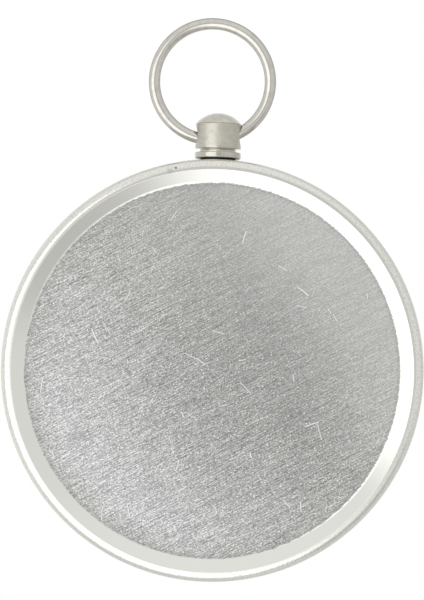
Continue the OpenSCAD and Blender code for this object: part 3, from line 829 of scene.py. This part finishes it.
def bow_wire(finish):
    """The bow: round wire on an open circle whose gap hides inside the pendant's head."""
    values = {"Ring radius": BOW_R * MM, "Wire radius": WIRE_R * MM, "Gap": math.radians(BOW_GAP)}
    tree, size = node_group("bow_wire", values)
    start = tree.maths("SUBTRACT", tree.times(size["Gap"], 0.5), math.pi / 2)
    sweep = tree.maths("SUBTRACT", 2 * math.pi, size["Gap"])
    path = arc(tree, BOW_STEPS, size["Ring radius"], start, sweep)
    wire = tube(tree, path, WIRE_STEPS, size["Wire radius"])
    ring = grown("bow_wire", tree, wire, values, finish, WIRE_SMOOTH)
    ring.data.transform(TO_CROSS_HOLE @ Matrix.Rotation(math.radians(-BOW_LEAN), 4, "Z")
                        @ Matrix.Translation(Vector((0.0, BOW_SEAT, 0.0)) * MM))
    stand_in(ring, "bow", "nickel_plate", "bow_ring")


def letters(name, text, height, place, angle, finish):
    """Flat printed figures at a place in millimetres, turned by an angle."""
    curve = bpy.data.curves.new(name, "FONT")
    curve.body = text
    curve.size = height * MM * TYPE_PER_HEIGHT
    curve.align_x = "CENTER"
    curve.align_y = "CENTER"
    curve.extrude = INK_T * MM / 2
    curve.resolution_u = LETTER_STEPS
    maker = bpy.data.objects.new(name + "_maker", curve)
    bpy.context.scene.collection.objects.link(maker)
    mesh = evaluated_copy(maker)
    bpy.data.objects.remove(maker)
    mesh.transform(Matrix.Translation(Vector(place) * MM) @ Matrix.Rotation(angle, 4, "Z"))
    return keep_mesh(name, mesh, finish)


def merged(name, parts, finish):
    """Several flat pieces as one mesh."""
    work = bmesh.new()
    for part in parts:
        work.from_mesh(part.data)
        bpy.data.objects.remove(part)
    mesh = bpy.data.meshes.new(name)
    work.to_mesh(mesh)
    work.free()
    return keep_mesh(name, mesh, finish)


def ring_of_figures(name, figures, radius, height, z, finish):
    """Figures around the axis, tops outwards, from (text, bearing) pairs; bearings are clockwise degrees."""
    parts = []
    for i, (text, bearing) in enumerate(figures):
        a = math.radians(90.0 - bearing)
        place = (radius * math.cos(a), radius * math.sin(a), z)
        parts.append(letters(f"{name}_{i}", text, height, place, a - math.pi / 2, finish))
    return merged(name, parts, finish)


def dial_print(ink, red_ink):
    """Degree ring, inner ring, dip scale and winds; degrees run anticlockwise, to be read at the needle."""
    scale_z = SCALE_Z + INK_T / 4
    dial_z = DIAL_Z + INK_T / 4
    half = {"start": 180.0, "sweep": 180.0}
    degrees = [(str(value), -value) for value in range(0, 360, 30)]
    dips = [("0", 180.0)] + [(str(v), 180.0 + side * v) for v in (30, 60, 90) for side in (-1, 1)]
    made = [
        tick_marks("degree_ticks", ink, scale_z, count=180, inner=SCALE_TICK_IN, length=0.55, width=0.07,
                   start=90.0, sweep=358.0),
        tick_marks("ten_degree_ticks", ink, scale_z, count=36, inner=SCALE_TICK_IN, length=0.85,
                   width=0.12, start=90.0, sweep=350.0),
        tick_marks("inner_ticks", ink, dial_z, count=72, inner=INNER_TICK_IN, length=0.7, width=0.1,
                   start=90.0, sweep=355.0),
        tick_marks("dip_ticks", ink, dial_z, count=37, inner=DIP_TICK_IN, length=0.7, width=0.09, **half),
        tick_marks("dip_ten_ticks", ink, dial_z, count=19, inner=DIP_TICK_IN, length=1.1, width=0.13,
                   **half),
        tick_marks("dip_arc", ink, dial_z, count=240, inner=DIP_TICK_IN - DIP_ARC_GAP, length=0.08,
                   width=0.24, **half),
        ring_of_figures("degree_figures", degrees, SCALE_FIGURE_R, SCALE_FIGURE_H, scale_z, ink),
        ring_of_figures("dip_figures", dips, DIP_FIGURE_R, DIP_FIGURE_H, dial_z, ink),
        ring_of_figures("wind_east_west", [("E", -90.0), ("W", 90.0)], SIDE_WIND_R, WIND_H, dial_z, ink),
        ring_of_figures("wind_south", [("S", 180.0)], SOUTH_R, WIND_H, dial_z, ink),
        ring_of_figures("wind_north", [("N", 0.0)], NORTH_R, NORTH_H, dial_z, red_ink),
    ]
    for piece in made:
        trim(piece, "case")


def back_scratches(finish):
    """Short curved handling scratches scattered on the flat back."""
    values = {"Field radius": (BACK_R - SCRATCH_MARGIN) * MM, "Count": SCRATCH_COUNT,
              "Bend radius": SCRATCH_BEND_R * MM, "Width": SCRATCH_WIDTH * MM,
              "Height": (BACK_DEPTH - SCRATCH_SINK) * MM, "Seed": SCRATCH_SEED}
    tree, size = node_group("back_scratches", values)
    field = tree.add("GeometryNodeMeshCircle",
                     {"Radius": size["Field radius"], "Vertices": FIELD_SIDES}, fill_type="NGON")
    area = tree.times(tree.maths("POWER", size["Field radius"], 2.0), math.pi)
    points = tree.add("GeometryNodeDistributePointsOnFaces",
                      {"Mesh": field.outputs[0], "Density": tree.maths("DIVIDE", size["Count"], area),
                       "Seed": size["Seed"]})
    path = arc(tree, SCRATCH_STEPS, size["Bend radius"], -SCRATCH_HALF_ARC, 2 * SCRATCH_HALF_ARC)
    hair = moved(tree, tube(tree, path, SCRATCH_SIDES, size["Width"]), (-SCRATCH_BEND_R * MM, 0.0, 0.0))
    turn = random_vector(tree, (0.0, 0.0, 0.0), (0.0, 0.0, 2 * math.pi), SCRATCH_TURN_SEED)
    scale = random_vector(tree, SCRATCH_LEAST, SCRATCH_MOST, SCRATCH_SIZE_SEED)
    marks = tree.add("GeometryNodeInstanceOnPoints",
                     {"Points": points.outputs[0], "Instance": hair, "Rotation": turn, "Scale": scale})
    raised = lifted(tree, marks.outputs[0], size["Height"])
    piece = grown("back_scratches", tree, raised, values, finish)
    trim(piece, "case")


def paint_node(name, finish):
    """Gives a CAD node its finish."""
    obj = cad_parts[name]
    obj.data.materials.clear()
    obj.data.materials.append(finish)


# Stage

def camera():
    """Looks straight up at the case's back from below, rolled as the photograph is."""
    up = Vector((math.sin(CAMERA_ROLL), math.cos(CAMERA_ROLL), 0.0))
    right = Vector((-up.y, up.x, 0.0))
    across = (IMAGE_W / 2 - CASE_PX[0]) / PX_PER_MM
    above = (CASE_PX[1] - IMAGE_H / 2) / PX_PER_MM
    place = right * across + up * above + Vector((0.0, 0.0, RIM_ROUND - CAMERA_DISTANCE))
    data = bpy.data.cameras.new("camera")
    data.sensor_fit = "AUTO"
    data.sensor_width = SENSOR
    data.lens = SENSOR * CAMERA_DISTANCE * PX_PER_MM / IMAGE_H
    data.clip_start = 0.01
    data.clip_end = 20.0
    obj = bpy.data.objects.new("camera", data)
    bpy.context.scene.collection.objects.link(obj)
    turn = Matrix((right, up, Vector(DOWN))).transposed().to_4x4()
    obj.matrix_world = Matrix.Translation(place * MM) @ turn
    bpy.context.scene.camera = obj


def lobe(tree, direction, toward, inner, outer):
    """A soft round patch of the surroundings: 1 within inner degrees of a direction, 0 beyond outer."""
    along = tree.vector("DOT_PRODUCT", direction, Vector(toward).normalized())
    return tree.ramp(along["Value"], math.cos(math.radians(outer)), math.cos(math.radians(inner)))


def off_camera(bearing, tilt):
    """A direction by its bearing anticlockwise in the photograph and its tilt off the camera's axis."""
    turn = math.radians(bearing) - CAMERA_ROLL
    lean = math.radians(tilt)
    return (-math.cos(turn) * math.sin(lean), math.sin(turn) * math.sin(lean), -math.cos(lean))


def surroundings():
    """A pale studio: white overhead, soft greys around, and white screens near the camera."""
    world = bpy.data.worlds.new("studio")
    bpy.context.scene.world = world
    world.use_nodes = True
    tree = Tree(world.node_tree)
    direction = tree.add("ShaderNodeTexCoord").outputs["Generated"]
    level = tree.blend(lobe(tree, direction, DOWN, *BELOW_SPREAD), AROUND_LEVEL, BELOW_LEVEL)
    for bearing, tilt, inner, outer, patch_level in PATCHES:
        patch = lobe(tree, direction, off_camera(bearing, tilt), inner, outer)
        level = tree.blend(patch, level, patch_level)
    screens = 0.0
    for bearing, tilt, inner, outer in SCREENS:
        screen = lobe(tree, direction, off_camera(bearing, tilt), inner, outer)
        screens = tree.maths("MAXIMUM", screens, screen)
    screens = tree.times(screens, lobe(tree, direction, DOWN, *SCREEN_SPREAD))
    level = tree.blend(screens, level, SCREEN_LEVEL)
    overhead = lobe(tree, direction, UP, *ABOVE_SPREAD)
    tree.feed(tree.nodes["Background"],
              Color=tree.tint(overhead, (1.0, 0.995, 0.975), WHITE),
              Strength=tree.blend(overhead, level, ABOVE_LEVEL))


def floor():
    """A pale floor under the rim that shows from above only, so that the back is seen and lit from below."""
    work = bmesh.new()
    bmesh.ops.create_grid(work, x_segments=1, y_segments=1, size=FLOOR_HALF)
    mesh = bpy.data.meshes.new("floor")
    work.to_mesh(mesh)
    work.free()
    made, tree, shader = material("floor_pale", (0.82, 0.82, 0.81), 0.0, 0.8)
    side = tree.add("ShaderNodeNewGeometry").outputs["Backfacing"]
    clear = tree.add("ShaderNodeBsdfTransparent")
    mixed = tree.add("ShaderNodeMixShader", {0: side, 1: shader.outputs[0], 2: clear.outputs[0]})
    tree.feed(tree.nodes["Material Output"], Surface=mixed.outputs[0])
    obj = keep_mesh("floor", mesh, made)
    obj.visible_shadow = False
    obj.visible_glossy = False
    obj.visible_diffuse = False
    obj.visible_transmission = False


def top_softbox():
    """A square soft lamp above, aimed at the case."""
    data = bpy.data.lights.new("top_softbox", "AREA")
    data.shape = "SQUARE"
    data.size = LAMP_SIDE
    data.energy = LAMP_POWER
    obj = bpy.data.objects.new("top_softbox", data)
    bpy.context.scene.collection.objects.link(obj)
    obj.location = LAMP_PLACE
    obj.rotation_mode = "QUATERNION"
    obj.rotation_quaternion = (LAMP_AIM - LAMP_PLACE).to_track_quat("-Z", "Y")
    obj.visible_camera = False
    obj.visible_glossy = False


def build():
    """Makes every piece and finish, the camera and the stage."""
    brass = turned_brass()
    steel = ground_steel()
    camera()
    case_shell(brushed_case())
    bezel(turned_aluminium())
    pendant(satin_nickel())
    bow_wire(bright_nickel())
    dial_print(painted("black_ink", (0.03, 0.03, 0.032), (0.015, 0.015, 0.016), 0.5),
               painted("red_ink", (0.6, 0.05, 0.04), (0.48, 0.03, 0.025), 0.5))
    back_scratches(fresh_scratch())
    finishes = {
        "glass": window_glass(),
        "glass_gasket": painted("gasket_rubber", (0.05, 0.05, 0.05), (0.02, 0.02, 0.02), 0.7),
        "glass_snap_ring": steel,
        "base_plate": steel,
        "dial_plate": dial_enamel(),
        "dial_screws": brass,
        "graduation_ring": frosted_silver(),
        "pivot_post": brass,
        "pivot_pin": steel,
        "clinometer_washer": steel,
        "clinometer_bush": brass,
        "clinometer_arm": painted("pointer_black", (0.05, 0.05, 0.055), (0.025, 0.025, 0.028), 0.35),
        "clinometer_weight": brass,
        "weight_rivet": brass,
        "clinometer_collar": brass,
        "needle_blade": needle_paint(),
        "needle_hub": brass,
        "needle_jewel": jewel(),
        "needle_rider": brass,
        "pendant_washer": brass,
        "pendant_nut": brass,
    }
    for name, finish in finishes.items():
        paint_node(name, finish)
    surroundings()
    floor()
    top_softbox()
    bpy.context.scene.view_settings.view_transform = "Standard"


build()
